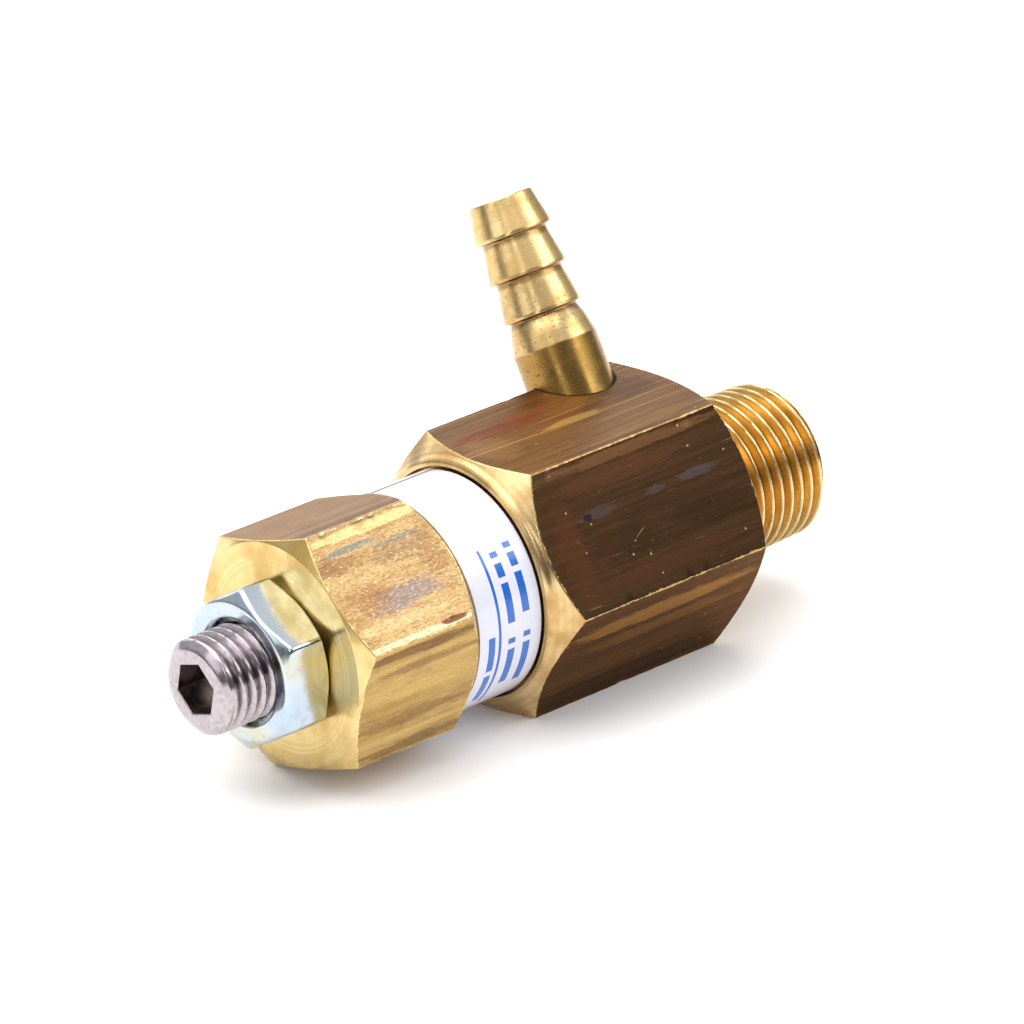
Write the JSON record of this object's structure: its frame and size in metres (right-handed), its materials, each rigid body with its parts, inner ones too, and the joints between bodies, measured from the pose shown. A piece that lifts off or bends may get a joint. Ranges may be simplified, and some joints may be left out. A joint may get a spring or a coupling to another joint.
{
  "type": "pressure relief valve",
  "caption": "Adjustable spring-loaded ball relief valve with a tapered male pipe inlet, a barbed hose outlet, and a socket adjusting screw with lock nut.",
  "frame": {"origin": "on the valve axis, in the plane of the shoulder behind the inlet thread", "axes": "+X along the valve axis towards the inlet, +Z square to the hexagon flat that lies uppermost, with the outlet barb leaning 30 degrees from +Z towards +Y"},
  "size_m": [0.1003, 0.0454, 0.0574],
  "materials": {
    "body_brass": "tarnished mill finish on the flats, bright turned ends and thread",
    "bonnet_brass": "mill finish flats, bright turned face",
    "barb_brass": "bright turned",
    "inner_brass": "turned",
    "zinc_plate": "blue-white zinc plate",
    "screw_steel": "satin stainless",
    "stainless": "ground",
    "spring_steel": "oiled spring wire",
    "seal_rubber": "black nitrile rubber",
    "backup_plastic": "white PTFE",
    "label_white": "gloss white vinyl with blue print",
    "sealant": "cured dark thread sealant"
  },
  "bodies": {
    "housing": {"valve_body": "body_brass", "bonnet": "bonnet_brass", "bonnet_oring": "seal_rubber", "label": "label_white", "guide_bush": "inner_brass", "guide_oring": "seal_rubber", "port_cage": "inner_brass", "valve_seat": "stainless", "seat_oring": "seal_rubber", "hose_barb": "barb_brass", "barb_seal": "sealant", "main_spring": "spring_steel"},
    "poppet": {"ball": "stainless", "piston": "stainless", "piston_oring": "seal_rubber", "piston_backup_ring": "backup_plastic", "lower_spring_plate": "stainless", "spring_plate_clip": "spring_steel"},
    "spring_seat": {"upper_spring_plate": "stainless"},
    "adjuster": {"adjusting_screw": "screw_steel"},
    "locking_nut": {"lock_nut": "zinc_plate"}
  },
  "joints": [
    {"name": "poppet_lift", "type": "slide", "parent": "housing", "child": "poppet", "axis": [-1, 0, 0], "range_m": [0, 0.002], "stiffness_N_per_m": 130000, "deforming": ["main_spring"]},
    {"name": "spring_seat_travel", "type": "slide", "parent": "housing", "child": "spring_seat", "axis": [1, 0, 0], "range_m": [-0.00159, 0.00477], "deforming": ["main_spring"]},
    {"name": "adjuster_turn", "type": "hinge", "parent": "spring_seat", "child": "adjuster", "pos_m": [-0.0816, 0, 0], "axis": [1, 0, 0], "range_deg": [-360, 1080]},
    {"name": "lock_nut_turn", "type": "hinge", "parent": "housing", "child": "locking_nut", "pos_m": [-0.0711, 0, 0], "axis": [1, 0, 0], "range_deg": [-360, 0]}
  ],
  "couplings": [
    {"joint": "spring_seat_travel", "follows": "adjuster_turn", "m_per_rad": 0.00025274}
  ]
}
